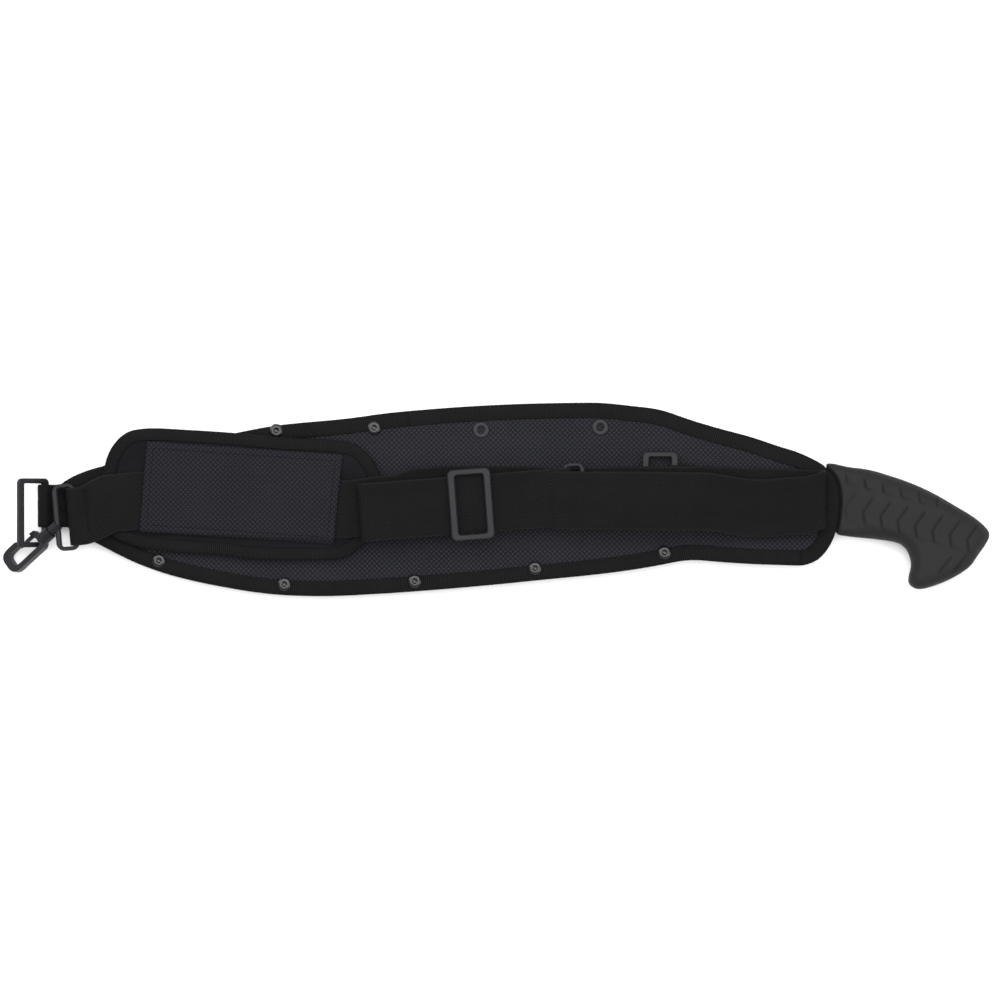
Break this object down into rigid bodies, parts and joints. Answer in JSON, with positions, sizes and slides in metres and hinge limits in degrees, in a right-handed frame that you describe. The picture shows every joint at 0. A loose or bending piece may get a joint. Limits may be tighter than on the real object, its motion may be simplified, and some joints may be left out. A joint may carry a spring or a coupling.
{
  "type": "sheathed machete with shoulder strap",
  "caption": "Hooked-grip machete in a stitched woven sheath, with a folded webbing strap, sliding shoulder pad, two-window slider and two swivel snap hooks.",
  "frame": {"origin": "a point of the flat front face of the sheath, under the middle of its length", "axes": "+X along the sheath from its tip to the grip, +Y towards the blade's spine, +Z out of the back face, where the strap lies"},
  "size_m": [0.6503, 0.1277, 0.0377],
  "materials": {
    "panel_cloth": "matt woven",
    "liner_sheet": "matt",
    "welt_strip": "matt",
    "binding_tape": "ribbed tape",
    "rivet_black": "gloss black",
    "snap_metal": "satin grey",
    "moulded_plastic": "satin dark grey",
    "webbing": "woven herringbone",
    "pad_cloth": "smooth cloth over foam",
    "sleeve_cloth": "matt woven",
    "blade_steel": "bead-blasted",
    "grip_rubber": "matt rubber"
  },
  "bodies": {
    "sheath": {"front_panel": "panel_cloth", "back_panel": "panel_cloth", "front_liner": "liner_sheet", "back_liner": "liner_sheet", "welt": "welt_strip", "edge_binding": "binding_tape", "front_mouth_binding": "binding_tape", "back_mouth_binding": "binding_tape", "edge_rivets": "rivet_black", "snap_caps": "snap_metal", "snap_sockets": "snap_metal", "snap_studs": "snap_metal", "snap_eyelets": "snap_metal", "tip_tab": "webbing", "side_tab": "webbing", "strap_end": "webbing", "strap_pad_run": "webbing", "strap_long_run": "webbing", "strap_return": "webbing"},
    "machete": {"blade": "blade_steel", "grip": "grip_rubber"},
    "pad": {"pad_body": "pad_cloth", "pad_binding": "binding_tape", "pad_patch": "sleeve_cloth"},
    "slider": {"slider": "moulded_plastic", "slider_tail": "webbing"},
    "tip_ring": {"tip_ring": "moulded_plastic"},
    "side_ring": {"side_ring": "moulded_plastic"},
    "tip_hook_loop": {"tip_hook_loop": "moulded_plastic"},
    "tip_hook": {"tip_hook_body": "moulded_plastic"},
    "tip_gate": {"tip_hook_gate": "moulded_plastic"},
    "strap_hook_loop": {"strap_hook_loop": "moulded_plastic"},
    "strap_hook": {"strap_hook_body": "moulded_plastic"},
    "strap_gate": {"strap_hook_gate": "moulded_plastic"}
  },
  "joints": [
    {"name": "machete_draw", "type": "slide", "parent": "sheath", "child": "machete", "axis": [0.9954, 0.0958, 0], "range_m": [0, 0.5]},
    {"name": "pad_slide", "type": "slide", "parent": "sheath", "child": "pad", "axis": [0.999, -0.0436, 0], "range_m": [-0.004, 0.008]},
    {"name": "slider_slide", "type": "slide", "parent": "sheath", "child": "slider", "axis": [0.9971, 0.0767, 0], "range_m": [0, 0.03]},
    {"name": "tip_ring_swing", "type": "hinge", "parent": "sheath", "child": "tip_ring", "pos_m": [-0.27, -0.0071, 0.0058], "axis": [0, 1, 0], "range_deg": [-3, 3]},
    {"name": "side_ring_swing", "type": "hinge", "parent": "sheath", "child": "side_ring", "pos_m": [0.1445, 0.0102, 0.01642], "axis": [0, 1, 0], "range_deg": [-2, 2]},
    {"name": "tip_loop_swing", "type": "hinge", "parent": "sheath", "child": "tip_hook_loop", "pos_m": [-0.24927, -0.00948, 0.0166], "axis": [-0.0872, 0.9962, 0], "range_deg": [-1, 2]},
    {"name": "tip_hook_swivel", "type": "hinge", "parent": "tip_hook_loop", "child": "tip_hook", "pos_m": [-0.26541, -0.01958, 0.01564], "axis": [-0.7178, -0.6463, -0.2588], "range_deg": [-3, 3]},
    {"name": "tip_gate_spring", "type": "hinge", "parent": "tip_hook", "child": "tip_gate", "pos_m": [-0.27636, -0.0216, 0.0109], "axis": [-0.4096, 0.0914, 0.9077], "range_deg": [0, 6], "stiffness_Nm_per_rad": 0.004, "springref_deg": -34.38},
    {"name": "strap_loop_swing", "type": "hinge", "parent": "sheath", "child": "strap_hook_loop", "pos_m": [0.07307, 0.0033, 0.01858], "axis": [-0.0767, 0.9971, 0], "range_deg": [-1, 1]},
    {"name": "strap_hook_swivel", "type": "hinge", "parent": "strap_hook_loop", "child": "strap_hook", "pos_m": [0.09076, 0.00476, 0.01916], "axis": [0.9823, 0.1032, 0.1564], "range_deg": [-5, 5]},
    {"name": "strap_gate_spring", "type": "hinge", "parent": "strap_hook", "child": "strap_gate", "pos_m": [0.10162, -0.00033, 0.02079], "axis": [-0.1556, -0.0163, 0.9877], "range_deg": [0, 22], "stiffness_Nm_per_rad": 0.004, "springref_deg": -34.38}
  ]
}
